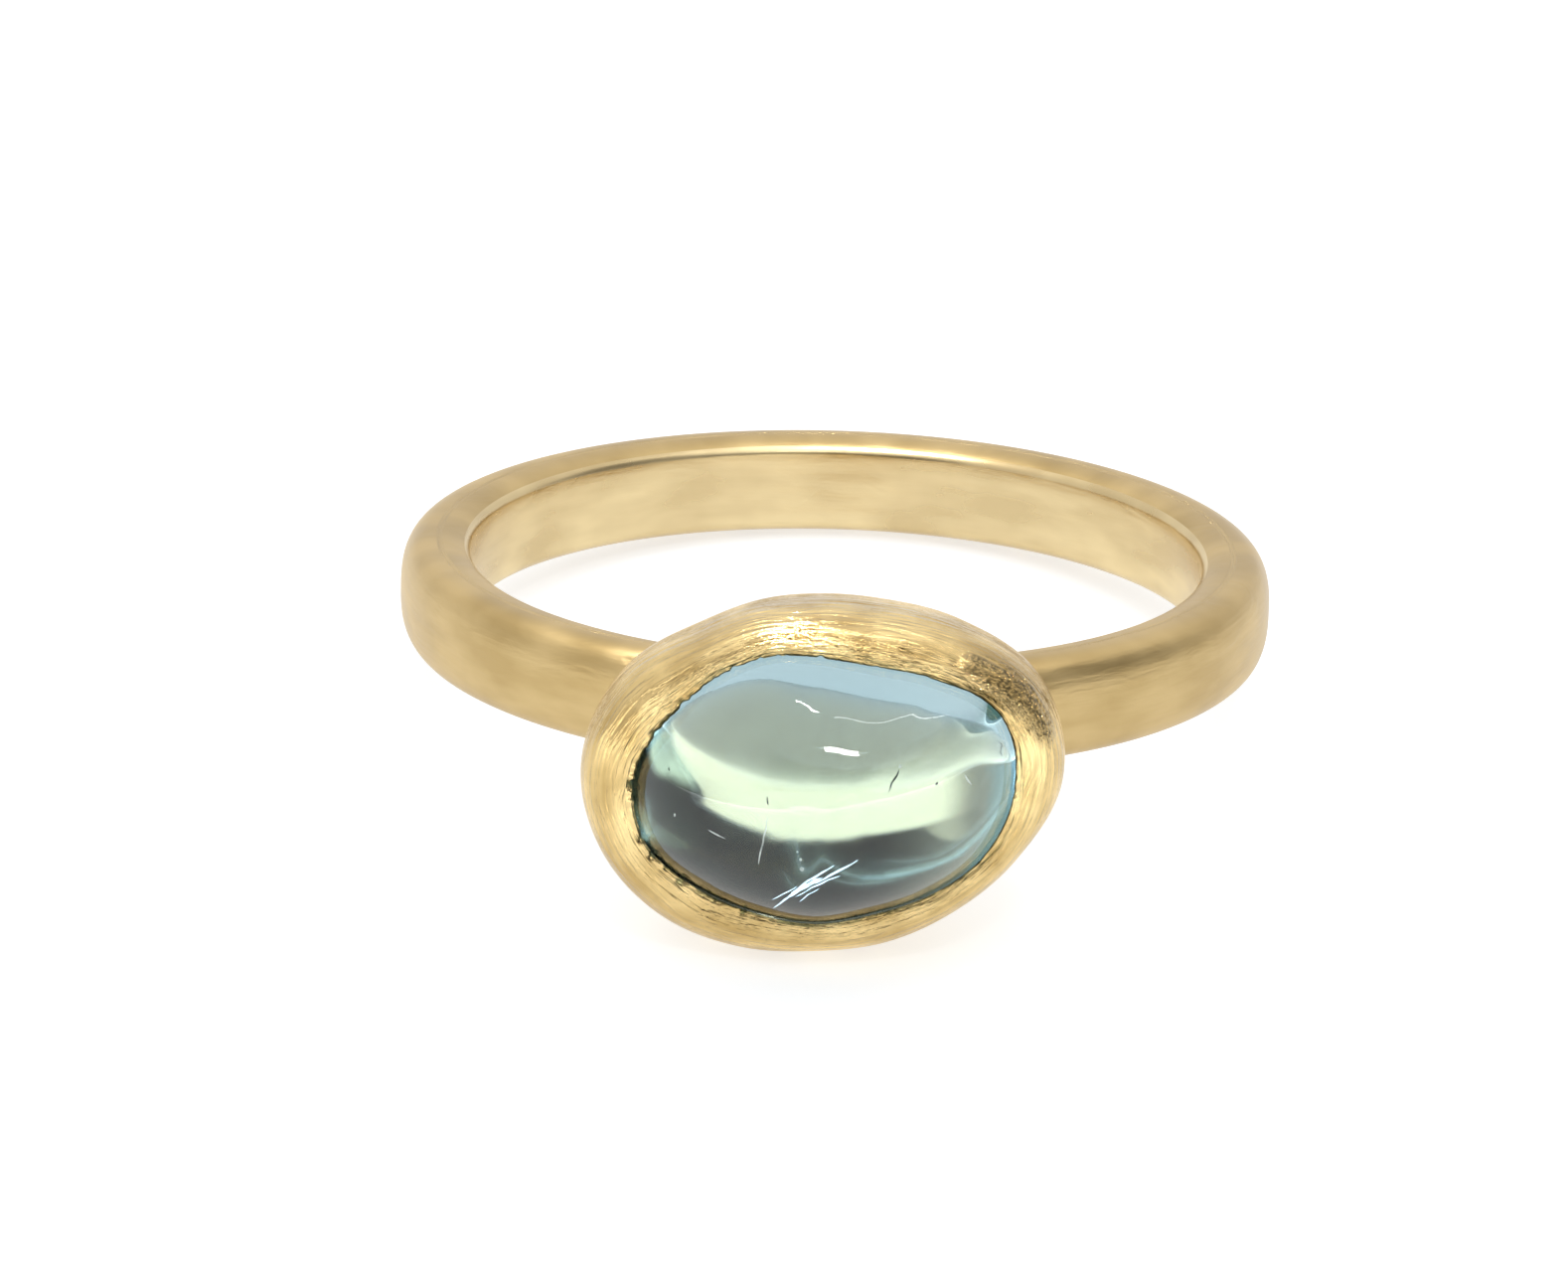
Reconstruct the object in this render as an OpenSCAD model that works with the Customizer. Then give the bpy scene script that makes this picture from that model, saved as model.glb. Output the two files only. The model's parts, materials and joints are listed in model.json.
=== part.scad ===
// Gold ring with an oval cabochon held in a rolled bezel cup, lying on its side as it rests.
// Ring coordinates: the finger runs along z through the origin, and the stone faces -y.
// A depth is a distance from the finger's axis, measured outwards along -y.

/* [Band] */
// Inside diameter of the band
finger_d = 17; // [15.5:0.25:19]
// Width of the band along the finger
band_w = 2.4; // [2:0.1:2.8]
// Thickness of the band
band_t = 1.6; // [1.3:0.05:1.8]
// Length of the straight wall inside the band, between its two rounded edges
bore_wall = 1.7; // [1.4:0.05:1.8]
// Squareness of the band's outer curve, where 2 is an ellipse
band_square = 2.8; // [2:0.1:5]

/* [Bezel cup] */
// Height of the widest line above the inside of the band
widest_h = 4.3; // [4:0.1:5]
// Share of the rim's width that the cup's foot has
foot_share = 0.28; // [0.22:0.01:0.3]
// Thickness of the metal at the lip
lip_t = 0.12; // [0.08:0.01:0.2]
// How far the roll swells beyond a quarter ellipse
roll_puff = 0.12; // [0:0.02:0.16]

/* [Stone] */
// How far the lip covers the stone
lip_cover = 0.3; // [0.26:0.02:0.36]
// Height of the middle of the stone's back above the inside of the band
base_h = 2.9; // [2.8:0.05:3]
// Height of the stone's girdle, where the dome starts
girdle_h = 3.8; // [3.6:0.05:3.9]
// Height of the dome above the girdle
dome_h = 4; // [3.4:0.1:4.2]
// How far the stone's back leans in its seat, in degrees
back_lean = 7; // [0:1:8]
// Where the back leans towards the front, in degrees from +x towards +z
lean_way = 50; // [0:5:90]
// Gap between the stone and the metal
seat_gap = 0.04; // [0.03:0.01:0.08]

/* [Smoothness] */
// Points round the bezel and the stone
spoke_count = 96; // [48:12:108]

/* [Hidden] */

GOLD = [0.80, 0.63, 0.34];
AQUAMARINE = [0.62, 0.76, 0.75];

// The bezel's hand-made oval as seen from the front, a row for each spoke.
// Columns: angle from +x towards +z, radius of the widest line, radius of the lip
RIM = 1;
LIP = 2;
SPOKES = [
    [0, 5.22, 4.16],
    [22.5, 5.12, 4.14],
    [45, 4.38, 3.40],
    [67.5, 3.80, 2.90],
    [90, 3.61, 2.84],
    [112.5, 3.72, 3.03],
    [135, 4.02, 3.21],
    [157.5, 4.73, 3.47],
    [180, 5.14, 3.93],
    [202.5, 5.11, 3.97],
    [225, 4.83, 3.54],
    [247.5, 4.41, 3.24],
    [270, 4.10, 3.17],
    [292.5, 4.15, 3.16],
    [315, 4.32, 3.45],
    [337.5, 4.71, 3.89],
];

finger_r = finger_d / 2;
widest_depth = finger_r + widest_h;
foot_depth = finger_r + 0.4;
base_depth = finger_r + base_h;
girdle_depth = finger_r + girdle_h;

outer_steps = 24;
edge_steps = 6;
bowl_steps = 8;
roll_steps = 8;
cover_steps = 3;
dome_steps = 10;
pole_share = 0.12;
max_tilt = 20;
settle_rounds = 24;

// Catmull-Rom spline through one column of SPOKES, closed on itself
function between(col, angle) =
    let (
        n = len(SPOKES),
        s = angle * n / 360,
        i = floor(s),
        u = s - i,
        p = [for (j = [-1 : 2]) SPOKES[(i + j + n) % n][col]]
    )
    p[1] + u / 2 * (p[2] - p[0]
        + u * (2 * p[0] - 5 * p[1] + 4 * p[2] - p[3]
        + u * (3 * p[1] - 3 * p[2] + p[3] - p[0])));

function rim(a) = between(RIM, a);
function lip(a) = between(LIP, a);
function girdle(a) = lip(a) + lip_cover;

// Depth of the dome where its outline has shrunk to a share of the girdle
function dome_depth(share) = girdle_depth + dome_h * sqrt(1 - share * share);
function lip_depth(a) = dome_depth(lip(a) / girdle(a)) + lip_t;

// Depth of the stone's flat back at a distance r from its middle
function back_depth(r, a) = base_depth + tan(back_lean) * r * cos(a - lean_way);

// Each section below is [radius, depth] at the angle a
function bowl_section(a, q) = [
    rim(a) * (foot_share + (1 - foot_share) * cos(q)),
    widest_depth - (widest_depth - foot_depth) * sin(q)
];
function roll_section(a, q) = [
    lip(a) + (rim(a) - lip(a)) * cos(q),
    widest_depth + (lip_depth(a) - widest_depth) * sin(q) + roll_puff * sin(2 * q)
];
// The metal's inner face follows the dome under the lip, from the lip at u = 0 to the girdle at u = 1
function cover_section(a, u) =
    let (r = lip(a) + lip_cover * u)
    [r + seat_gap, dome_depth(r / girdle(a))];

// Edge of the flat seat under the stone
function seat_edge(a) =
    let (r = girdle(a) + seat_gap)
    [r, back_depth(r, a) - seat_gap];

function spread(n, from, to) = [for (i = [0 : n]) from + (to - from) * i / n];

function bezel_profile(a) = concat(
    [for (q = spread(bowl_steps, 90, 0)) bowl_section(a, q)],
    [for (i = [1 : roll_steps]) roll_section(a, 90 * i / roll_steps)],
    [for (u = spread(cover_steps, 0, 1)) cover_section(a, u)],
    [seat_edge(a)]
);

function stone_profile(a) = concat(
    [[girdle(a), back_depth(girdle(a), a)]],
    [for (share = [for (q = spread(dome_steps, 0, acos(pole_share))) cos(q)])
        [girdle(a) * share, dome_depth(share)]]
);

// Points in ring coordinates, section by section from the first row of the profile to the last
function loft_points(profiles) =
    let (n = len(profiles))
    [for (j = [0 : len(profiles[0]) - 1], i = [0 : n - 1])
        let (a = 360 * i / n, p = profiles[i][j])
        [p[0] * cos(a), -p[1], p[0] * sin(a)]];

// Band's section as [distance from the finger's axis, height], outer curve first
function power(x, e) = sign(x) * pow(abs(x), e);
function band_outer(q) = [
    finger_r + band_t / 2 * (1 + power(cos(q), 2 / band_square)),
    band_w / 2 * power(sin(q), 2 / band_square)
];
function band_edge(q, side) = [
    finger_r + band_t / 2 * (1 - sin(q)),
    side * (bore_wall + (band_w - bore_wall) * cos(q)) / 2
];
function band_section() = concat(
    [for (q = spread(outer_steps, -90, 90)) band_outer(q)],
    [for (i = [1 : edge_steps]) band_edge(90 * i / edge_steps, 1)],
    [for (i = [edge_steps : -1 : 1]) band_edge(90 * i / edge_steps, -1)]
);

spoke_angles = [for (i = [0 : spoke_count - 1]) 360 * i / spoke_count];
bezel_points = loft_points([for (a = spoke_angles) bezel_profile(a)]);
stone_points = loft_points([for (a = spoke_angles) stone_profile(a)]);
back_points = [for (p = band_section()) [0, p[0], p[1]]];

// Height and reach of a point once the ring is tipped by t with its head up
function tipped_z(p, t) = p[2] * cos(t) - p[1] * sin(t);
function tipped_y(p, t) = p[1] * cos(t) + p[2] * sin(t);
function lowest(points, t) = min([for (p = points) tipped_z(p, t)]);

// The ring comes to rest on the cup's rim and the back of the band, at the tilt where both touch
function settled(low, high, rounds) =
    let (t = (low + high) / 2)
    rounds == 0 ? t
    : lowest(bezel_points, t) < lowest(back_points, t) ? settled(t, high, rounds - 1)
    : settled(low, t, rounds - 1);

tilt = settled(0, max_tilt, settle_rounds);
lift = -lowest(back_points, tilt);
front_y = min([for (p = stone_points) tipped_y(p, tilt)]);
back_y = max([for (p = back_points) tipped_y(p, tilt)]);

// Closed solid through rings of n points, capped flat at both ends
module loft(points, n) {
    rings = len(points) / n;
    sides = [for (j = [0 : rings - 2], i = [0 : n - 1])
        let (k = (i + 1) % n, low = j * n, high = low + n)
        each [[low + i, high + k, low + k], [low + i, high + i, high + k]]];
    first_cap = [for (i = [0 : n - 1]) i];
    last_cap = [for (i = [n - 1 : -1 : 0]) (rings - 1) * n + i];
    polyhedron(points, concat(sides, [first_cap, last_cap]));
}

module as_it_rests() {
    translate([0, -(front_y + back_y) / 2, lift])
        rotate([-tilt, 0, 0])
            children();
}

module band() {
    rotate_extrude($fn = 180)
        polygon(band_section());
}

module bezel_cup() {
    loft(bezel_points, spoke_count);
}

module band_and_bezel() {
    color(GOLD)
        as_it_rests()
            union() {
                band();
                bezel_cup();
            }
}

module cabochon() {
    color(AQUAMARINE)
        as_it_rests()
            loft(stone_points, spoke_count);
}

band_and_bezel();
cabochon();
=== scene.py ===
"""A gold finger ring with an oval aquamarine cabochon, lying on its side in soft studio light."""

import json
import math

import bpy
import numpy as np
from mathutils import Matrix, Vector


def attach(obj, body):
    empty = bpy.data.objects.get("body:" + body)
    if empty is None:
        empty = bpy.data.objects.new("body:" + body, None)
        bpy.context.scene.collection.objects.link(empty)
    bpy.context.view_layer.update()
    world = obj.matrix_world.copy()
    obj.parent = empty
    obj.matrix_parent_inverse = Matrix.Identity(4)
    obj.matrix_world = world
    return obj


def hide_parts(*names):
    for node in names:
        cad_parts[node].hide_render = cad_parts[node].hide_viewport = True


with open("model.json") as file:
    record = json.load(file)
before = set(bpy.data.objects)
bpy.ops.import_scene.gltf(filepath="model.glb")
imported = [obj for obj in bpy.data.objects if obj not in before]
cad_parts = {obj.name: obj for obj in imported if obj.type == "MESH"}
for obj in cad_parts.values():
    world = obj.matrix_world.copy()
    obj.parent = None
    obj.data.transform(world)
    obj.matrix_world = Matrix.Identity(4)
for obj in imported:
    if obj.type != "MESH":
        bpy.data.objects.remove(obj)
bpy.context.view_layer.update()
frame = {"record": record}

MM = 0.001

# Ring coordinates are in millimetres: the finger runs along z through the origin, and the stone
# faces -y. A depth is a distance from the finger's axis, measured outwards along -y.
finger = frame["record"]["mounts"][0]
FINGER_R = finger["dims"]["r_mm"]
BORE_WALL = finger["dims"]["length_mm"]

# The band: its width along the finger and its thickness, the squareness of its outer curve, where 2
# is an ellipse, the radius of its edges, and how far from the bore's wall the bore's finish ends
BAND_W = 2.4
BAND_T = 1.6
BAND_SQUARE = 2.8
BAND_EDGE_R = 0.35
BORE_EDGE = 0.15

# The bezel cup: its widest line, its foot, the share of the rim's width that the foot has, the
# metal's thickness at the lip, and how far the roll swells beyond a quarter ellipse
WIDEST_DEPTH = FINGER_R + 4.3
FOOT_DEPTH = FINGER_R + 0.4
FOOT_SHARE = 0.28
LIP_T = 0.12
ROLL_PUFF = 0.12

# The stone: how far the lip covers it, the middle of its back, its girdle, its dome's height, the
# gap round it, and how its back leans: by how much, and which way from +x towards +z
LIP_COVER = 0.3
BASE_DEPTH = FINGER_R + 2.9
GIRDLE_DEPTH = FINGER_R + 3.8
DOME_H = 4.0
SEAT_GAP = 0.04
STONE_LEAN = math.radians(7)
LEAN_WAY = math.radians(50)

# How far the solder reaches up the cup and along the band
SOLDER_R = 0.4

# The lip's wear: how far it wanders from an even line, how closely that stays at the lip, what is
# left of it on the calm side, how closely it keeps to the torn side, and the shares of the quick
# swings and of the chips, which are the tops of their own swings
LIP_SWING = 0.02
LIP_SWING_REACH = 400
CALM_SIDE = 0.2
TORN_SIDE_FOCUS = 3
QUICK_SHARE = 0.8
CHIP_SHARE = 5
CHIP_LEVEL = 0.2

# Swings of the lip, each as counts per turn and a seed
SLOW_SWINGS = ((7, 11, 17, 26), 3)
QUICK_SWINGS = ((53, 71, 97, 131), 4)
CHIP_SWINGS = ((19, 31, 43, 59), 6)

# Points round each surface, and the share of an outline that a small flat cap closes in its middle
BEZEL_SPOKES = 600
BAND_SPOKES = 540
STONE_SPOKES = 360
POLE = 0.004

# The bezel's hand-made oval as seen from the front, a row for each spoke.
# Columns: angle from +x towards +z in degrees, radius of the widest line, radius of the lip
RIM = 1
LIP = 2
SPOKES = np.array([
    (0, 5.22, 4.16),
    (22.5, 5.12, 4.14),
    (45, 4.38, 3.40),
    (67.5, 3.80, 2.90),
    (90, 3.61, 2.84),
    (112.5, 3.72, 3.03),
    (135, 4.02, 3.21),
    (157.5, 4.73, 3.47),
    (180, 5.14, 3.93),
    (202.5, 5.11, 3.97),
    (225, 4.83, 3.54),
    (247.5, 4.41, 3.24),
    (270, 4.10, 3.17),
    (292.5, 4.15, 3.16),
    (315, 4.32, 3.45),
    (337.5, 4.71, 3.89),
])


def ring_to_frame():
    """Matrix from ring coordinates in millimetres to the frame in metres."""
    axis = Vector(finger["axis"])
    tilt = math.atan2(axis.y, axis.z)
    return Matrix.Translation(finger["pos_m"]) @ Matrix.Rotation(-tilt, 4, "X") @ Matrix.Scale(MM, 4)


RING = ring_to_frame()


# Shape of the bezel and the stone

def spoke_spline(column, angle):
    """Catmull-Rom spline through one column of SPOKES, closed on itself."""
    rows = len(SPOKES)
    s = angle * rows / (2 * np.pi)
    i = np.floor(s).astype(int)
    u = s - i
    a, b, c, d = (SPOKES[(i + j) % rows, column] for j in (-1, 0, 1, 2))
    return b + u / 2 * (c - a + u * (2 * a - 5 * b + 4 * c - d + u * (3 * b - 3 * c + d - a)))


def girdle(angle):
    return spoke_spline(LIP, angle) + LIP_COVER


def dome_depth(share):
    """Depth of the dome where its outline has shrunk to a share of the girdle."""
    return GIRDLE_DEPTH + DOME_H * np.sqrt(np.maximum(1 - share * share, 0))


def back_depth(radius, angle):
    """Depth of the stone's flat back, which leans in its seat."""
    return BASE_DEPTH + math.tan(STONE_LEAN) * radius * np.cos(angle - LEAN_WAY)


def waves(angle, counts, seed):
    """Small uneven swings round a closed line, from -1 to 1, with so many of each size per turn."""
    phases = np.random.default_rng(seed).uniform(0, 2 * np.pi, len(counts))
    return sum(np.sin(n * angle + p) for n, p in zip(counts, phases)) / len(counts)


def ragged_lip(angle):
    """Radius of the lip as it was pushed over the stone by hand, most torn on its left."""
    left = (1 - np.cos(angle)) / 2
    torn = CALM_SIDE + (1 - CALM_SIDE) * left ** TORN_SIDE_FOCUS
    slow = waves(angle, *SLOW_SWINGS)
    quick = waves(angle, *QUICK_SWINGS)
    chips = np.maximum(waves(angle, *CHIP_SWINGS) - CHIP_LEVEL, 0)
    return spoke_spline(LIP, angle) + LIP_SWING * torn * (slow + QUICK_SHARE * quick + CHIP_SHARE * chips)


def bowl_section(angle, q):
    """Radius and depth on the cup's bowl, from the widest line at q = 0 to the foot at a quarter turn."""
    radius = spoke_spline(RIM, angle) * (FOOT_SHARE + (1 - FOOT_SHARE) * np.cos(q))
    depth = WIDEST_DEPTH - (WIDEST_DEPTH - FOOT_DEPTH) * np.sin(q)
    return radius, depth


def roll_section(angle, q):
    """Radius and depth on the rolled rim, from the widest line at q = 0 to the lip at a quarter turn."""
    rim = spoke_spline(RIM, angle)
    even_lip = spoke_spline(LIP, angle)
    lip = even_lip + (ragged_lip(angle) - even_lip) * np.sin(q) ** LIP_SWING_REACH
    lip_depth = dome_depth(lip / girdle(angle)) + LIP_T
    radius = lip + (rim - lip) * np.cos(q)
    depth = WIDEST_DEPTH + (lip_depth - WIDEST_DEPTH) * np.sin(q) + ROLL_PUFF * np.sin(2 * q)
    return radius, depth


def cover_section(angle, u):
    """Radius and depth inside the lip, which follows the dome from the lip at u = 0 to the girdle."""
    lip = ragged_lip(angle)
    radius = lip + (girdle(angle) - lip) * u
    return radius + SEAT_GAP, dome_depth(radius / girdle(angle))


def seat_section(angle, share):
    """Radius and depth on the flat seat under the stone, from its edge at a share of 1 inwards."""
    radius = (girdle(angle) + SEAT_GAP) * share
    return radius, back_depth(radius, angle) - SEAT_GAP


def bezel_sections(angle):
    """The outer face, from the foot over the widest line to the lip, then the hollow for the stone."""
    bowl_rows, roll_rows, cover_rows, seat_rows = 34, 30, 5, 12
    quarter = np.pi / 2
    outer = (
        [bowl_section(angle, q) for q in np.linspace(quarter, 0, bowl_rows)]
        + [roll_section(angle, q) for q in np.linspace(0, quarter, roll_rows)[1:]]
    )
    hollow = (
        [cover_section(angle, u) for u in np.linspace(0, 1, cover_rows)]
        + [seat_section(angle, share) for share in np.linspace(1, POLE, seat_rows)]
    )
    return outer, hollow


def stone_sections(angle):
    """The stone's flat back from its middle to the girdle, then its dome."""
    dome_rows, back_rows = 60, 30
    edge = girdle(angle)
    dome_shares = np.cos(np.linspace(0, math.acos(POLE), dome_rows))
    back_shares = np.linspace(POLE, 1, back_rows)
    return (
        [(edge * share, back_depth(edge * share, angle)) for share in back_shares]
        + [(edge * share, dome_depth(share)) for share in dome_shares]
    )


def around(count):
    """Angles of evenly spaced points round a closed line."""
    return np.linspace(0, 2 * np.pi, count, endpoint=False)


def unit(vectors):
    return vectors / np.linalg.norm(vectors, axis=-1, keepdims=True)


def loft(sections, angle):
    """Grid of points in ring coordinates, a row for each section."""
    return np.array([
        np.stack(np.broadcast_arrays(radius * np.cos(angle), -depth, radius * np.sin(angle)), axis=1)
        for radius, depth in sections
    ])


def grid_normals(grid):
    """Unit normals of a grid of points that closes on itself along its second axis."""
    along = np.roll(grid, -1, axis=1) - np.roll(grid, 1, axis=1)
    across = np.gradient(grid, axis=0)
    return unit(np.cross(along, across))


# Shape of the band

def signed_power(x, exponent):
    return np.sign(x) * np.abs(x) ** exponent


def band_section():
    """Distance from the finger's axis and height, round the band's section."""
    outer_rows, edge_rows, bore_rows = 34, 9, 7
    q = np.linspace(-np.pi / 2, np.pi / 2, outer_rows)
    outer_r = FINGER_R + BAND_T / 2 * (1 + signed_power(np.cos(q), 2 / BAND_SQUARE))
    outer_z = BAND_W / 2 * signed_power(np.sin(q), 2 / BAND_SQUARE)
    e = np.linspace(0, np.pi / 2, edge_rows)[1:]
    edge_r = FINGER_R + BAND_T / 2 * (1 - np.sin(e))
    edge_z = (BORE_WALL + (BAND_W - BORE_WALL) * np.cos(e)) / 2
    bore_z = np.linspace(BORE_WALL / 2, -BORE_WALL / 2, bore_rows)[1:-1]
    return (
        np.concatenate([outer_r, edge_r, np.full(len(bore_z), FINGER_R), edge_r[::-1]]),
        np.concatenate([outer_z, edge_z, bore_z, -edge_z[::-1]]),
    )


def band_grid(turns):
    """Grid of points on the band in ring coordinates, a row for each turn round the finger."""
    radius, height = band_section()
    turn = turns[:, None]
    return np.stack(np.broadcast_arrays(radius * np.sin(turn), -radius * np.cos(turn), height), axis=2)


# Solder: each surface swells towards the other where they meet

def distance_to_band(points):
    """Distance to the band, taken as a ring of flat faces and round edges."""
    radius = np.hypot(points[..., 0], points[..., 1])
    out_r = np.abs(radius - FINGER_R - BAND_T / 2) - BAND_T / 2 + BAND_EDGE_R
    out_z = np.abs(points[..., 2]) - BAND_W / 2 + BAND_EDGE_R
    outside = np.hypot(np.maximum(out_r, 0), np.maximum(out_z, 0))
    return outside + np.minimum(np.maximum(out_r, out_z), 0) - BAND_EDGE_R


def bowl_excess(points):
    """How far a point is outside the bowl, measured across it."""
    depth = -points[..., 1]
    angle = np.arctan2(points[..., 2], points[..., 0])
    sin_q = np.clip((WIDEST_DEPTH - depth) / (WIDEST_DEPTH - FOOT_DEPTH), 0, 1)
    bowl_r = spoke_spline(RIM, angle) * (FOOT_SHARE + (1 - FOOT_SHARE) * np.sqrt(1 - sin_q ** 2))
    return np.hypot(points[..., 0], points[..., 2]) - bowl_r


def distance_to_bowl(points):
    """Distance to the cup's bowl, worked out from how fast a point's excess changes there."""
    step = 0.01
    excess = bowl_excess(points)
    slopes = [(bowl_excess(points + step * axis) - excess) / step for axis in np.eye(3)]
    distance = excess / np.sqrt(sum(s * s for s in slopes))
    behind_finger = points[..., 1] > 0
    return np.where(behind_finger, SOLDER_R, distance)


def swollen(grid, normals, distance):
    """The grid pushed out to the hollow curve of the solder, where the other surface is near."""
    near = np.clip(distance, 0, SOLDER_R)
    push = (math.sqrt(SOLDER_R) - np.sqrt(near)) ** 2
    return grid + normals * push[..., None]


# Meshes

# The brush on the bezel: the name under which the mesh keeps its places, the radius of the oval that
# it follows, and its way across the roll and the bowl for each radian of their sections
BRUSH_PLACE = "brush_place"
OVAL_R = 4.0
ROLL_ARC = 1.2
BOWL_ARC = 2.8

# Places of the gold's finishes in its list of materials
SATIN = 0
BORE = 1
BRUSHED = 2
POLISHED = 3


def place(points):
    """Points in ring coordinates to the frame, in metres."""
    matrix = np.array(RING)
    return points @ matrix[:3, :3].T + matrix[:3, 3]


def place_back(points):
    """Points in the frame, in metres, to ring coordinates, where the ring's matrix turned round still
    holds its scale, so that scale is taken out twice."""
    return (points - np.array(RING.translation)) @ np.array(RING.to_3x3()) / MM ** 2


def grid_faces(rows, count, close_rows):
    """Quads of a grid that closes on itself along its second axis, and along its first if asked."""
    i, j = np.meshgrid(np.arange(rows if close_rows else rows - 1), np.arange(count), indexing="ij")
    i_next, j_next = (i + 1) % rows, (j + 1) % count
    corners = [i * count + j, i * count + j_next, i_next * count + j_next, i_next * count + j]
    return np.stack([c.ravel() for c in corners], axis=1).tolist()


def make_object(name, vertices, faces, materials):
    """An object in the scene, with smooth faces that take the first of its materials."""
    mesh = bpy.data.meshes.new(name)
    mesh.from_pydata([tuple(v) for v in vertices], [], faces)
    for material in materials:
        mesh.materials.append(material)
    mesh.polygons.foreach_set("use_smooth", [True] * len(mesh.polygons))
    obj = bpy.data.objects.new(name, mesh)
    bpy.context.scene.collection.objects.link(obj)
    return obj


def capped_loft(name, grid, materials):
    """A closed mesh through the rows of a grid, with a flat cap at its first and at its last."""
    rows, count = grid.shape[:2]
    first = list(range(count))[::-1]
    last = list(range((rows - 1) * count, rows * count))
    faces = grid_faces(rows, count, False) + [first, last]
    return make_object(name, place(grid.reshape(-1, 3)), faces, materials)


def make_bezel(materials):
    angle = around(BEZEL_SPOKES)
    outer, hollow = bezel_sections(angle)
    outer_grid = loft(outer, angle)
    outer_grid = swollen(outer_grid, grid_normals(outer_grid), distance_to_band(outer_grid))
    bezel = capped_loft("bezel", np.concatenate([outer_grid, loft(hollow, angle)]), materials)
    outer_faces = [BRUSHED] * len(outer) * len(angle)
    hollow_faces = [POLISHED] * (len(hollow) - 1) * len(angle)
    finishes = outer_faces + hollow_faces + [BRUSHED, POLISHED]
    bezel.data.polygons.foreach_set("material_index", finishes)
    return bezel


def make_band(materials):
    grid = band_grid(around(BAND_SPOKES))
    normals = -grid_normals(grid.transpose(1, 0, 2)).transpose(1, 0, 2)
    radius = np.hypot(grid[..., 0], grid[..., 1])
    outside = radius > FINGER_R + BAND_T / 2
    distance = np.where(outside, distance_to_bowl(grid), SOLDER_R)
    grid = swollen(grid, normals, distance)
    rows, count = grid.shape[:2]
    faces = [face[::-1] for face in grid_faces(rows, count, True)]
    band = make_object("band", place(grid.reshape(-1, 3)), faces, materials)
    bore = radius < FINGER_R + BORE_EDGE
    band.data.polygons.foreach_set("material_index", np.where(bore, BORE, SATIN).ravel())
    return band


def soldered(band, bezel):
    """One solid from the band and the bezel."""
    union = band.modifiers.new("solder", "BOOLEAN")
    union.operation = "UNION"
    union.solver = "MANIFOLD"
    union.object = bezel
    depsgraph = bpy.context.evaluated_depsgraph_get()
    mesh = bpy.data.meshes.new_from_object(band.evaluated_get(depsgraph))
    mesh.name = "gold_ring"
    ring = bpy.data.objects.new("gold_ring", mesh)
    bpy.context.scene.collection.objects.link(ring)
    for part in (band, bezel):
        bpy.data.objects.remove(part)
    keep_brush_place(ring)
    return ring


def bezel_marks(points):
    """Where the brush went on the bezel, in millimetres: round the oval, and across the strokes."""
    angle = np.arctan2(points[:, 2], points[:, 0])
    radius = np.hypot(points[:, 0], points[:, 2])
    depth = -points[:, 1]
    rim, lip = spoke_spline(RIM, angle), spoke_spline(LIP, angle)
    on_roll = np.arccos(np.clip((radius - lip) / (rim - lip), 0, 1)) * ROLL_ARC
    down_bowl = (WIDEST_DEPTH - depth) / (WIDEST_DEPTH - FOOT_DEPTH)
    out_bowl = (radius / rim - FOOT_SHARE) / (1 - FOOT_SHARE)
    on_bowl = np.arctan2(down_bowl, out_bowl) * BOWL_ARC
    across = np.where(depth > WIDEST_DEPTH, on_roll, -on_bowl)
    return np.stack([OVAL_R * np.cos(angle), OVAL_R * np.sin(angle), across], axis=1)


def band_marks(points):
    """Where the brush went on the band, in millimetres: round the finger, and across the strokes, where
    its inner half lies beyond its outer half so that the two have strokes of their own."""
    radius = np.hypot(points[:, 0], points[:, 1])
    middle = FINGER_R + BAND_T / 2
    beyond = np.where(radius < middle, 2 * BAND_W, 0)
    turn = points[:, :2] / radius[:, None] * middle
    return np.concatenate([turn, (points[:, 2] + beyond)[:, None]], axis=1)


def keep_brush_place(ring):
    """Stores on each face corner where the brush went, for the finishes."""
    mesh = ring.data
    flat = np.empty(3 * len(mesh.vertices))
    mesh.vertices.foreach_get("co", flat)
    points = place_back(flat.reshape(-1, 3))
    corners = np.empty(len(mesh.loops), dtype=int)
    mesh.loops.foreach_get("vertex_index", corners)
    finish = np.empty(len(mesh.polygons), dtype=int)
    mesh.polygons.foreach_get("material_index", finish)
    sides = np.empty(len(mesh.polygons), dtype=int)
    mesh.polygons.foreach_get("loop_total", sides)
    on_band = np.isin(np.repeat(finish, sides), (SATIN, BORE))
    marks = np.where(on_band[:, None], band_marks(points)[corners], bezel_marks(points)[corners])
    attribute = mesh.attributes.new(BRUSH_PLACE, "FLOAT_VECTOR", "CORNER")
    attribute.data.foreach_set("vector", marks.ravel())


def make_stone(material):
    angle = around(STONE_SPOKES)
    return capped_loft("aquamarine", loft(stone_sections(angle), angle), [material])


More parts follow.
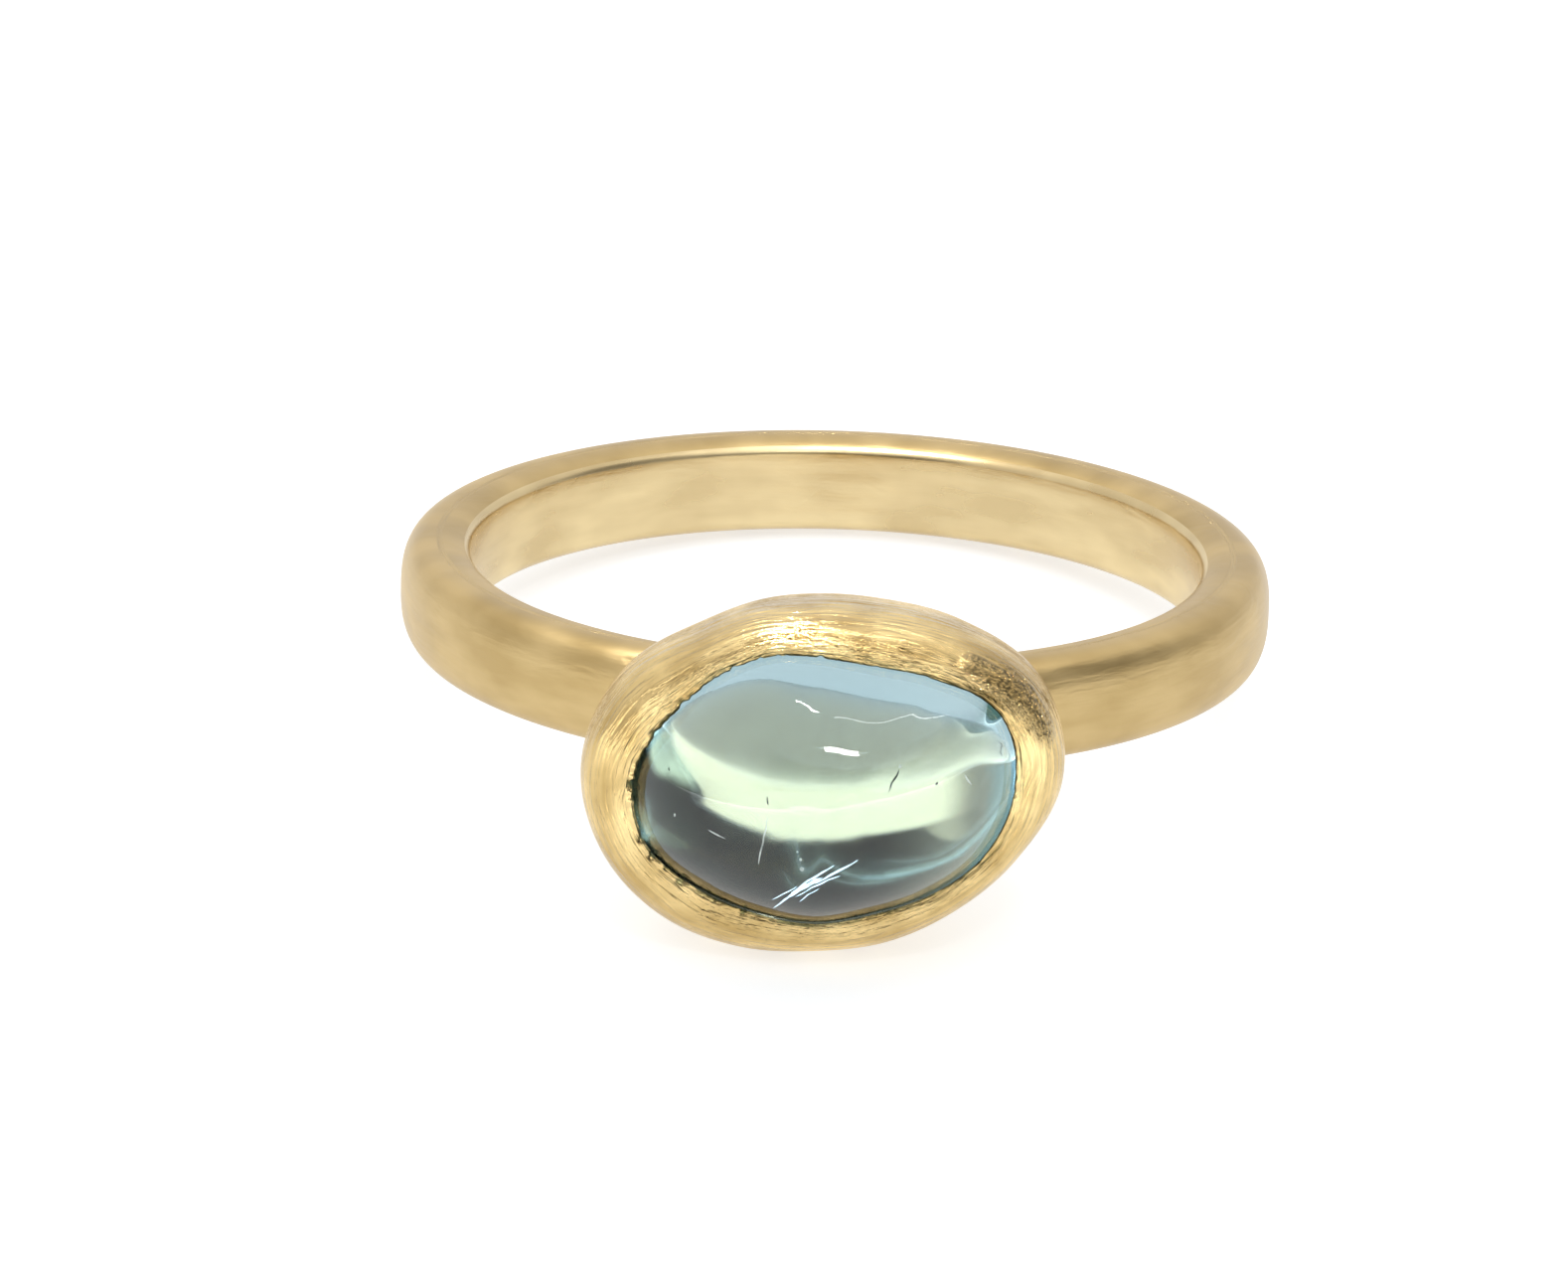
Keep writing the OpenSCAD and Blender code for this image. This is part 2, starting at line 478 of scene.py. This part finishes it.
# Flaws in the stone, each a thin thread under the dome: finish, thickness and depth in millimetres, and
# its way as angles in degrees and shares of the girdle
FLAWS = [
    ("white_feather", 0.035, 0.25, [(186, 0.234), (200, 0.253), (213, 0.314), (221, 0.388), (226, 0.438)]),
    ("white_feather", 0.035, 0.25, [(195, 0.536), (198, 0.5), (201, 0.468)]),
    ("white_feather", 0.05, 0.25, [(188.6, 0.694), (190, 0.698)]),
    ("white_feather", 0.06, 0.3, [(253, 0.29), (254.5, 0.31)]),
    ("white_feather", 0.1, 0.3, [(257, 0.35), (259, 0.377)]),
    ("white_feather", 0.04, 0.3, [(245, 0.25), (247, 0.26)]),
    ("white_feather", 0.07, 0.2, [(30, 0.458), (30.3, 0.474)]),
    ("white_feather", 0.04, 0.2, [(12, 0.69), (9.5, 0.70), (7.3, 0.715)]),
    ("blue_flash", 0.09, 0.3, [(255, 0.61), (260, 0.52), (270, 0.438), (276, 0.42)]),
    ("blue_flash", 0.05, 0.3, [(251, 0.74), (254, 0.63), (258, 0.54), (264, 0.46)]),
    ("blue_flash", 0.05, 0.3, [(256, 0.56), (264, 0.445), (276, 0.38), (289, 0.345)]),
    ("blue_flash", 0.055, 0.3, [(270, 0.46), (282, 0.41), (294, 0.385), (311, 0.36)]),
    ("blue_flash", 0.035, 0.35, [(259, 0.585), (268, 0.49), (280, 0.44), (290, 0.43)]),
    ("blue_flash", 0.03, 0.35, [(248, 0.66), (252, 0.58), (258, 0.50)]),
    ("blue_flash", 0.025, 0.35, [(262, 0.62), (266, 0.55), (273, 0.50)]),
    ("dark_speck", 0.035, 0.2, [(170.5, 0.25), (162, 0.28)]),
    ("dark_speck", 0.04, 0.2, [(173, 0.765), (172, 0.775)]),
    ("dark_speck", 0.04, 0.2, [(29, 0.45), (26.8, 0.425), (24, 0.38), (19, 0.35)]),
    ("dark_speck", 0.05, 0.2, [(13, 0.555), (13.5, 0.567)]),
    ("dark_speck", 0.03, 0.2, [(16.5, 0.865), (15, 0.875), (13.5, 0.86), (11.8, 0.865)]),
]

# Rows along a flaw and sides round it, and the share of its length that its blunt ends cut off
FLAW_ROWS = 14
FLAW_SIDES = 8
FLAW_BLUNT = 0.02


def flaw_grid(thickness, under, way):
    """Grid of points on a thread that lies this far under the dome and thins towards its ends."""
    share = np.linspace(0, 1, FLAW_ROWS)
    turns, girdle_shares = np.array(way).T
    at = np.linspace(0, 1, len(way))
    angle = np.radians(np.interp(share, at, turns))
    out = np.interp(share, at, girdle_shares)
    radius = girdle(angle) * out
    middle = np.stack([radius * np.cos(angle), under - dome_depth(out), radius * np.sin(angle)], axis=1)
    along = np.gradient(middle, axis=0)
    aside = unit(np.cross(along, (0, 1, 0)))
    upward = unit(np.cross(aside, along))
    turn = around(FLAW_SIDES)[None, :, None]
    outward = np.cos(turn) * aside[:, None] + np.sin(turn) * upward[:, None]
    swelling = np.sqrt(np.sin(np.pi * (FLAW_BLUNT + (1 - 2 * FLAW_BLUNT) * share)))
    return middle[:, None] + thickness / 2 * swelling[:, None, None] * outward


def make_flaws(materials):
    """All flaws as one piece."""
    first_end = list(range(FLAW_SIDES))[::-1]
    last_end = list(range((FLAW_ROWS - 1) * FLAW_SIDES, FLAW_ROWS * FLAW_SIDES))
    own_faces = grid_faces(FLAW_ROWS, FLAW_SIDES, False) + [first_end, last_end]
    vertices, faces, finishes = [], [], []
    for finish, thickness, under, way in FLAWS:
        start = len(vertices)
        vertices += place(flaw_grid(thickness, under, way).reshape(-1, 3)).tolist()
        faces += [[start + corner for corner in face] for face in own_faces]
        finishes += [list(FLAW_FINISHES).index(finish)] * len(own_faces)
    flaws = make_object("flaws", vertices, faces, materials)
    flaws.data.polygons.foreach_set("material_index", finishes)
    return flaws


# Materials

# Finishes of the gold: colours in its deeps and on its pale strokes, roughness from the deep to the
# pale, strokes along and across and patches per millimetre, how far the strokes waver, and depth in
# millimetres
FINISHES = {
    "satin_band": {
        "deep": (0.48, 0.34, 0.145), "pale": (0.59, 0.435, 0.205), "roughness": (0.34, 0.42),
        "along": 0.8, "across": 9, "waver": 0.3, "patches": 0.5, "stroke_depth": 0.012,
    },
    "smooth_bore": {
        "deep": (0.61, 0.47, 0.25), "pale": (0.77, 0.62, 0.35), "roughness": (0.26, 0.34),
        "along": 0.5, "across": 7, "waver": 0.3, "patches": 0.3, "stroke_depth": 0.006,
    },
    "brushed_bezel": {
        "deep": (0.53, 0.365, 0.14), "pale": (0.85, 0.64, 0.30), "roughness": (0.12, 0.24),
        "along": 0.5, "across": 10, "waver": 0.2, "patches": 0.8, "stroke_depth": 0.06,
    },
    "polished_hollow": {
        "deep": (0.74, 0.61, 0.43), "pale": (0.78, 0.65, 0.46), "roughness": (0.10, 0.12),
        "along": 0.6, "across": 4, "waver": 0.2, "patches": 0.5, "stroke_depth": 0.0002,
    },
}

# Where the tone of the strokes turns from the deep colour to the pale one, and the middle of all noise
TONE_RANGE = (0.8, 1.2)
NOISE_MIDDLE = 0.5

# Painted dark reflections on a finish, each as its centre in the brush's own places and its reach
PAINTED_DARK_REFLECTIONS = {
    "brushed_bezel": [
        ((3.41, 2.09, 1.1), 0.65),
        ((3.67, 1.6, 0.98), 0.5),
        ((3.06, 2.57, 0.98), 0.35),
        ((3.85, 1.07, 0.95), 0.35),
    ],
}

# A spot of painted dark reflection, grained like scratches: its colour, its grains per millimetre, the
# grain's range from dark to bare gold and how dark each end is, its height in strokes, and the distances
# from its centre, in reaches and with the strokes added, at which it is gone and is full
DARK_REFLECTION_COLOUR = (0.08, 0.055, 0.02)
GRAIN_PER_MM = 14
GRAIN_RANGE = (0.35, 0.6)
GRAIN_DARKNESS = (1, 0.1)
GRAIN_HEIGHT = 2.5
SPOT_FADES = (2.1, 1.4)

# Flaws' own finishes: colour, its painted glow standing in for caught light, and how much of it the wisps
# cover
FLAW_FINISHES = {
    "white_feather": ((0.86, 0.92, 0.88), 0.3, 0.6),
    "blue_flash": ((0.68, 0.88, 1.0), 1.4, 0.75),
    "dark_speck": ((0.10, 0.12, 0.10), 0, 0.9),
}

# A flaw's wisps: how many a millimetre, the range of their pattern, and the least that they cover
WISPS_PER_MM = 6
WISP_RANGE = (0.3, 0.6)
WISP_LEAST = 0.3

# The stone: how strongly it bends light, the colour that it lets through, and how much it takes of the
# rest over a metre
AQUAMARINE_IOR = 1.577
AQUAMARINE_TINT = (0.164, 0.478, 0.537, 1)
AQUAMARINE_DENSITY = 134


def new_material(name):
    material = bpy.data.materials.new(name)
    material.use_nodes = True
    nodes = material.node_tree.nodes
    return material, nodes, material.node_tree.links, nodes["Principled BSDF"]


def noise(nodes, links, place, scale, detail):
    """Soft random values, so many to a unit of the place, with finer ones by the detail."""
    texture = nodes.new("ShaderNodeTexNoise")
    texture.inputs["Scale"].default_value = scale
    texture.inputs["Detail"].default_value = detail
    links.new(place, texture.inputs["Vector"])
    return texture.outputs["Fac"]


def math_node(nodes, links, operation, *values):
    """Result of an operation on values, each a socket or a plain number."""
    node = nodes.new("ShaderNodeMath")
    node.operation = operation
    for socket, value in zip(node.inputs, values):
        if isinstance(value, (int, float)):
            socket.default_value = value
        else:
            links.new(value, socket)
    return node.outputs["Value"]


def remapped(nodes, links, value, low, high, to_low, to_high, smooth=False):
    """The value brought from one range to another and kept within it."""
    node = nodes.new("ShaderNodeMapRange")
    node.interpolation_type = "SMOOTHSTEP" if smooth else "LINEAR"
    for name, number in zip(("From Min", "From Max", "To Min", "To Max"), (low, high, to_low, to_high)):
        node.inputs[name].default_value = number
    links.new(value, node.inputs["Value"])
    return node.outputs["Result"]


def coordinates(nodes, links, kind):
    """X, Y and Z of the coordinates of this kind."""
    place = nodes.new("ShaderNodeTexCoord")
    parts = nodes.new("ShaderNodeSeparateXYZ")
    links.new(place.outputs[kind], parts.inputs["Vector"])
    return parts.outputs


def brush_marks():
    """Group: fine strokes that run round the form and waver a little."""
    group = bpy.data.node_groups.new("brush_marks", "ShaderNodeTree")
    group.interface.new_socket("Place", in_out="INPUT", socket_type="NodeSocketVector")
    for name in ("Per mm Along", "Per mm Across", "Waver"):
        group.interface.new_socket(name, in_out="INPUT", socket_type="NodeSocketFloat")
    for name in ("Strokes", "Tone"):
        group.interface.new_socket(name, in_out="OUTPUT", socket_type="NodeSocketFloat")
    nodes, links = group.nodes, group.links
    given = nodes.new("NodeGroupInput").outputs
    result = nodes.new("NodeGroupOutput").inputs
    split = nodes.new("ShaderNodeSeparateXYZ")
    links.new(given["Place"], split.inputs["Vector"])

    def stretched(bend_scale, bend_share, thinness):
        """The place drawn out along the strokes, which bend from side to side."""
        bend = noise(nodes, links, given["Place"], bend_scale, detail=1)
        swing = math_node(nodes, links, "SUBTRACT", bend, NOISE_MIDDLE)
        reach = math_node(nodes, links, "MULTIPLY", given["Waver"], bend_share)
        across = math_node(nodes, links, "MULTIPLY_ADD", swing, reach, split.outputs["Z"])
        per_mm = math_node(nodes, links, "MULTIPLY", given["Per mm Across"], thinness)
        place = nodes.new("ShaderNodeCombineXYZ")
        for axis in ("X", "Y"):
            along = math_node(nodes, links, "MULTIPLY", split.outputs[axis], given["Per mm Along"])
            links.new(along, place.inputs[axis])
        links.new(math_node(nodes, links, "MULTIPLY", across, per_mm), place.inputs["Z"])
        return place.outputs["Vector"]

    fine = stretched(bend_scale=0.35, bend_share=1, thinness=1)
    slanted = stretched(bend_scale=0.6, bend_share=4, thinness=0.7)
    broad = stretched(bend_scale=0.35, bend_share=1, thinness=0.3)
    straight = noise(nodes, links, fine, scale=1, detail=3)
    crossing = noise(nodes, links, slanted, scale=1, detail=3)
    links.new(math_node(nodes, links, "ADD", straight, crossing), result["Strokes"])
    links.new(noise(nodes, links, broad, scale=0.7, detail=2), result["Tone"])
    return group


def blended(nodes, links, share, base, other):
    """Colour that goes from the base, a socket or a plain colour, to the other by the share."""
    node = nodes.new("ShaderNodeMix")
    node.data_type = "RGBA"
    links.new(share, node.inputs["Factor"])
    for name, colour in (("A", base), ("B", other)):
        if isinstance(colour, tuple):
            node.inputs[name].default_value = (*colour, 1)
        else:
            links.new(colour, node.inputs[name])
    return node.outputs["Result"]


def spot_mask(nodes, links, place, centre, reach, ragged):
    """1 at a place on the metal and 0 beyond about a reach in millimetres, with a ragged edge."""
    away = nodes.new("ShaderNodeVectorMath")
    away.operation = "DISTANCE"
    away.inputs[1].default_value = centre
    links.new(place, away.inputs[0])
    edge = math_node(nodes, links, "MULTIPLY_ADD", ragged, reach, away.outputs["Value"])
    gone, full = SPOT_FADES
    return remapped(nodes, links, edge, reach * gone, reach * full, 0, 1)


def with_painted_reflections(nodes, links, place, strokes, colour, spots):
    """Colour and height of the strokes with spots of painted dark reflection in them, grainy like
    scratches.
    """
    grain = noise(nodes, links, place, GRAIN_PER_MM, detail=2)
    darkness = remapped(nodes, links, grain, *GRAIN_RANGE, *GRAIN_DARKNESS)
    height = strokes
    for centre, reach in spots:
        mask = spot_mask(nodes, links, place, centre, reach, strokes)
        dark = math_node(nodes, links, "MULTIPLY", mask, darkness)
        colour = blended(nodes, links, dark, colour, DARK_REFLECTION_COLOUR)
        rough = math_node(nodes, links, "MULTIPLY", mask, grain)
        height = math_node(nodes, links, "MULTIPLY_ADD", rough, GRAIN_HEIGHT, height)
    return colour, height


def gold_material(name, look, marks):
    """Brushed gold. The look names its colours, gloss, strokes and patches."""
    material, nodes, links, shader = new_material(name)
    shader.inputs["Metallic"].default_value = 1
    place = nodes.new("ShaderNodeAttribute")
    place.attribute_name = BRUSH_PLACE
    place = place.outputs["Vector"]
    brush = nodes.new("ShaderNodeGroup")
    brush.node_tree = marks
    brush.inputs["Per mm Along"].default_value = look["along"]
    brush.inputs["Per mm Across"].default_value = look["across"]
    brush.inputs["Waver"].default_value = look["waver"]
    links.new(place, brush.inputs["Place"])
    patches = noise(nodes, links, place, look["patches"], detail=3)
    tone = math_node(nodes, links, "ADD", brush.outputs["Tone"], patches)
    tone = remapped(nodes, links, tone, *TONE_RANGE, 0, 1)
    colour = blended(nodes, links, tone, look["deep"], look["pale"])
    height = brush.outputs["Strokes"]
    # Painted dark reflections: dark spots where the metal would mirror something dark
    if name in PAINTED_DARK_REFLECTIONS:
        colour, height = with_painted_reflections(nodes, links, place, height, colour, PAINTED_DARK_REFLECTIONS[name])
    links.new(colour, shader.inputs["Base Color"])
    links.new(remapped(nodes, links, tone, 0, 1, *look["roughness"]), shader.inputs["Roughness"])
    bump = nodes.new("ShaderNodeBump")
    bump.inputs["Distance"].default_value = look["stroke_depth"] * MM
    links.new(height, bump.inputs["Height"])
    links.new(bump.outputs["Normal"], shader.inputs["Normal"])
    return material


def aquamarine_material():
    """A clear stone that takes a little of the light on its way through."""
    material, nodes, links, shader = new_material("aquamarine")
    shader.inputs["Base Color"].default_value = (1, 1, 1, 1)
    shader.inputs["Transmission Weight"].default_value = 1
    shader.inputs["Roughness"].default_value = 0
    shader.inputs["IOR"].default_value = AQUAMARINE_IOR
    body = nodes.new("ShaderNodeVolumeAbsorption")
    body.inputs["Color"].default_value = AQUAMARINE_TINT
    body.inputs["Density"].default_value = AQUAMARINE_DENSITY
    links.new(body.outputs["Volume"], nodes["Material Output"].inputs["Volume"])
    return material


def flaw_material(name, colour, glow, cover):
    """A wispy flaw inside the stone, which glows with painted light in place of the light it would catch.
    """
    material, nodes, links, shader = new_material(name)
    shader.inputs["Base Color"].default_value = (*colour, 1)
    shader.inputs["Roughness"].default_value = 0.6
    # Painted light: the flaw glows by its own emission, though no lamp lights it there
    shader.inputs["Emission Color"].default_value = (*colour, 1)
    shader.inputs["Emission Strength"].default_value = glow
    where = nodes.new("ShaderNodeTexCoord")
    wisps = noise(nodes, links, where.outputs["Object"], WISPS_PER_MM / MM, detail=3)
    covered = remapped(nodes, links, wisps, *WISP_RANGE, WISP_LEAST * cover, cover)
    links.new(covered, shader.inputs["Alpha"])
    return material


# Stage

# The light tent's own light, from its horizon to overhead, and how high its horizon reaches
HORIZON_LIGHT = 0.9
ZENITH_LIGHT = 1.05
HORIZON_TOP = 0.2

# The floor: its colour, its glow round the ring and far in front of it, and where the near glow ends
# and the far one is full, in millimetres
FLOOR_WHITE = (0.55, 0.58, 0.62, 1)
NEAR_GLOW = 0.66
FAR_GLOW = 3.0
NEAR_GLOW_END = -25
FAR_GLOW_START = -120


def floor_material():
    """White, and glowing like a lit sweep further out in front."""
    material, nodes, links, shader = new_material("white_floor")
    shader.inputs["Base Color"].default_value = FLOOR_WHITE
    shader.inputs["Roughness"].default_value = 0.9
    shader.inputs["Emission Strength"].default_value = FAR_GLOW
    ahead = coordinates(nodes, links, "Object")["Y"]
    near_end, far_start = NEAR_GLOW_END * MM, FAR_GLOW_START * MM
    glow = remapped(nodes, links, ahead, near_end, far_start, NEAR_GLOW / FAR_GLOW, 1)
    links.new(blended(nodes, links, glow, (0, 0, 0), (1, 1, 1)), shader.inputs["Emission Color"])
    return material


def make_floor():
    """A flat floor that reaches a metre to each side."""
    reach = 1.0
    corners = [(-reach, -reach, 0), (reach, -reach, 0), (reach, reach, 0), (-reach, reach, 0)]
    floor = make_object("floor", corners, [[0, 1, 2, 3]], [floor_material()])


def make_world():
    """A light tent that grows brighter overhead."""
    world = bpy.data.worlds.new("light_tent")
    world.use_nodes = True
    nodes, links = world.node_tree.nodes, world.node_tree.links
    rise = coordinates(nodes, links, "Generated")["Z"]
    light = remapped(nodes, links, rise, HORIZON_TOP, 1, HORIZON_LIGHT, ZENITH_LIGHT, smooth=True)
    background = nodes["Background"]
    background.inputs["Color"].default_value = (1, 1, 1, 1)
    links.new(light, background.inputs["Strength"])
    bpy.context.scene.world = world


def toward(rise, turn, distance_mm):
    """The point at this angle above the floor and this turn to the right of straight ahead."""
    rise, turn = math.radians(rise), math.radians(turn)
    level = distance_mm * math.cos(rise)
    return Vector((level * math.sin(turn), -level * math.cos(turn), distance_mm * math.sin(rise))) * MM


def glowing(name, radiance, tint, soft):
    """A card's own light. It fades out over shares of the card at its left, right, low and high edge."""
    material, nodes, links, shader = new_material(name)
    shader.inputs["Base Color"].default_value = (0, 0, 0, 1)
    shader.inputs["Specular IOR Level"].default_value = 0
    shader.inputs["Emission Color"].default_value = (*tint, 1)
    shader.inputs["Emission Strength"].default_value = radiance
    parts = coordinates(nodes, links, "UV")
    left, right, low, high = soft
    cover = 1
    for axis, edge, full in (("X", 0, left), ("X", 1, 1 - right), ("Y", 0, low), ("Y", 1, 1 - high)):
        fade = remapped(nodes, links, parts[axis], edge, full, 0, 1, smooth=True)
        cover = math_node(nodes, links, "MULTIPLY", cover, fade)
    links.new(cover, shader.inputs["Alpha"])
    return material


# What sees a card
ALL = "all"
STONE = "only what looks out through the stone"


def hang_strip(material, corners, seen_by):
    """Hangs up a strip of glowing material: the corners of its lower edge, then of its upper edge."""
    count = len(corners) // 2
    faces = [[i, i + 1, i + count + 1, i + count] for i in range(count - 1)]
    strip = make_object(material.name, corners, faces, [material])
    layer = strip.data.uv_layers.new(name="card")
    for loop in strip.data.loops:
        row, column = divmod(loop.vertex_index, count)
        layer.data[loop.index].uv = (column / (count - 1), row)
    strip.visible_camera = False
    strip.visible_shadow = False
    strip.visible_glossy = seen_by == ALL
    strip.visible_diffuse = seen_by == ALL


def make_card(material, seen_by, distance_mm, outline):
    """A curved card round the ring, with a row of the outline for each upright line, in degrees.
    Columns: turn to the right of straight ahead, lower edge and upper edge above the floor."""
    turns, lows, highs = np.array(outline).T
    sides = np.linspace(turns[0], turns[-1], CARD_COLUMNS)
    rises = [np.interp(sides, turns, lows), np.interp(sides, turns, highs)]
    corners = [toward(rise, turn, distance_mm) for row in rises for rise, turn in zip(row, sides)]
    hang_strip(material, corners, seen_by)


def make_tube(material, distance_mm, width_mm, path):
    """A thin glowing band along a path of rises and turns, in degrees."""
    points = np.array([toward(rise, turn, distance_mm) for rise, turn in path])
    aside = unit(np.cross(points, np.gradient(points, axis=0))) * width_mm * MM / 2
    hang_strip(material, np.concatenate([points - aside, points + aside]), ALL)


def make_lamp(name, rise, turn, distance_mm, width_mm, height_mm, radiance, lit=None):
    """A small flat lamp that faces the ring, and that may light one piece alone."""
    light = bpy.data.lights.new(name, "AREA")
    light.shape = "RECTANGLE"
    light.size = width_mm * MM
    light.size_y = height_mm * MM
    light.energy = radiance * math.pi * light.size * light.size_y
    lamp = bpy.data.objects.new(name, light)
    lamp.location = toward(rise, turn, distance_mm)
    lamp.rotation_euler = (-lamp.location).to_track_quat("-Z", "Y").to_euler()
    lamp.visible_camera = False
    if lit:
        lamp.light_linking.receiver_collection = bpy.data.collections.new(name)
        lamp.light_linking.receiver_collection.objects.link(lit)
    bpy.context.scene.collection.objects.link(lamp)


# Points along each edge of a card
CARD_COLUMNS = 33

# Tints of the light
WHITE = (1, 1, 1)
WARM = (1, 0.98, 0.9)
COOL = (0.62, 0.85, 1.0)

# Cards of the light tent, where a radiance of 0 makes a shade: name, radiance, tint, fading shares at
# the left, right, low and high edge, what sees it, distance in millimetres, and outline as in make_card
CARDS = [
    ("front_strip", 3.4, WARM, (0.14, 0.05, 0.02, 0.04), STONE, 460, [
        (-46, 0, 15), (-40, 0, 17), (-35, 0, 15), (-31, 0, 11.5), (-25, 0, 11), (-16, 0, 11.5),
        (-6, 0, 13.5), (3, 0, 15), (10, 0, 16), (22, 0, 17), (34, 0, 19),
    ]),
    ("camera_shade", 0, WHITE, (0.33, 0.1, 0.05, 0.2), ALL, 450, [
        (-56, 10, 40), (-25, 10.5, 40), (-16, 11, 40), (-6, 13.5, 40), (3, 15, 40), (10, 16, 40),
        (22, 17, 40), (60, 19, 40),
    ]),
    ("left_light", 1.25, COOL, (0.1, 0.1, 0.02, 0.1), STONE, 470, [(-88, 0, 50), (-47, 0, 50)]),
    ("right_shade", 0.3, WHITE, (0.3, 0.3, 0.2, 0.3), ALL, 440, [(46, 4, 58), (120, 4, 58)]),
    ("right_light", 4.2, WARM, (0.1, 0.1, 0.1, 0.1), STONE, 450, [(86, 22, 52), (118, 22, 52)]),
    ("back_shade", 0, WHITE, (0.03, 0.3, 0.02, 0.2), STONE, 450, [(118, 1, 55), (185, 1, 55)]),
]

# How far the tubes and the lamps hang from the ring, in millimetres
HUNG_AT = 450

# Thin light tubes: their fading shares, their width in millimetres, and a row for each with its name,
# radiance, and path of rises and turns
TUBE_FADES = (0.1, 0.1, 0.3, 0.3)
TUBE_W = 7
TUBES = [
    ("short_tube", 60, [(84.5, -90), (87, -80), (87, 10), (81.4, 21)]),
    ("long_tube", 9, [(75.3, 43), (75.9, 51), (71.5, 68), (63.6, 94), (50.3, 112)]),
    ("glint_rays", 7, [(54, 3), (53.5, 15), (52, 27)]),
]

# The camera as it stood to the ring: its rise above the ring's plane, its swing round the ring, its
# roll, its distance in millimetres, and how far to the right of the view's middle and above it the
# ring's middle lies
CAMERA_RISE = math.radians(17.5)
CAMERA_SWING = math.radians(1.3)
CAMERA_ROLL = math.radians(-1.67)
CAMERA_DISTANCE = 155
RING_RIGHT = 1.185
RING_UP = 1.058

# The sensor's width in millimetres, the picture's width in pixels, and its scale at the ring's middle
SENSOR_W = 36
PHOTO_W = 1578
PIXELS_PER_MM = 43.187


def make_camera():
    """The camera, whose axes are worked out in ring coordinates and turned with the ring."""
    data = bpy.data.cameras.new("camera")
    data.sensor_width = SENSOR_W
    data.sensor_fit = "HORIZONTAL"
    data.lens = PIXELS_PER_MM * CAMERA_DISTANCE * SENSOR_W / PHOTO_W
    data.clip_start = 0.01
    data.clip_end = 10
    level_right = Vector((math.cos(CAMERA_SWING), math.sin(CAMERA_SWING), 0))
    into = Vector((-math.sin(CAMERA_SWING), math.cos(CAMERA_SWING), 0))
    level_up = math.sin(CAMERA_RISE) * into + math.cos(CAMERA_RISE) * Vector((0, 0, 1))
    right = math.cos(CAMERA_ROLL) * level_right - math.sin(CAMERA_ROLL) * level_up
    up = math.sin(CAMERA_ROLL) * level_right + math.cos(CAMERA_ROLL) * level_up
    back = right.cross(up)
    eye = CAMERA_DISTANCE * back - RING_RIGHT * right - RING_UP * up
    turn = RING.to_3x3().normalized()
    camera = bpy.data.objects.new("camera", data)
    axes = Matrix((turn @ right, turn @ up, turn @ back)).transposed()
    camera.matrix_world = Matrix.Translation(RING @ eye) @ axes.to_4x4()
    bpy.context.scene.collection.objects.link(camera)
    bpy.context.scene.camera = camera


marks = brush_marks()
gold = [gold_material(name, look, marks) for name, look in FINISHES.items()]
ring = soldered(make_band(gold), make_bezel(gold))
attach(ring, "root")
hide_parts("band_and_bezel")

stone = make_stone(aquamarine_material())
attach(stone, "root")
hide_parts("cabochon")

flaws = make_flaws([flaw_material(name, *look) for name, look in FLAW_FINISHES.items()])
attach(flaws, "root")

make_floor()
make_world()
for name, radiance, tint, soft, seen_by, distance_mm, outline in CARDS:
    make_card(glowing(name, radiance, tint, soft), seen_by, distance_mm, outline)
for name, radiance, path in TUBES:
    make_tube(glowing(name, radiance, WHITE, TUBE_FADES), HUNG_AT, TUBE_W, path)
make_lamp("glint", rise=53, turn=15, distance_mm=HUNG_AT, width_mm=44, height_mm=30, radiance=30)
make_lamp("overhead", rise=79, turn=-72, distance_mm=HUNG_AT, width_mm=34, height_mm=34, radiance=480,
          lit=ring)
make_camera()
bpy.context.scene.view_settings.view_transform = "Standard"
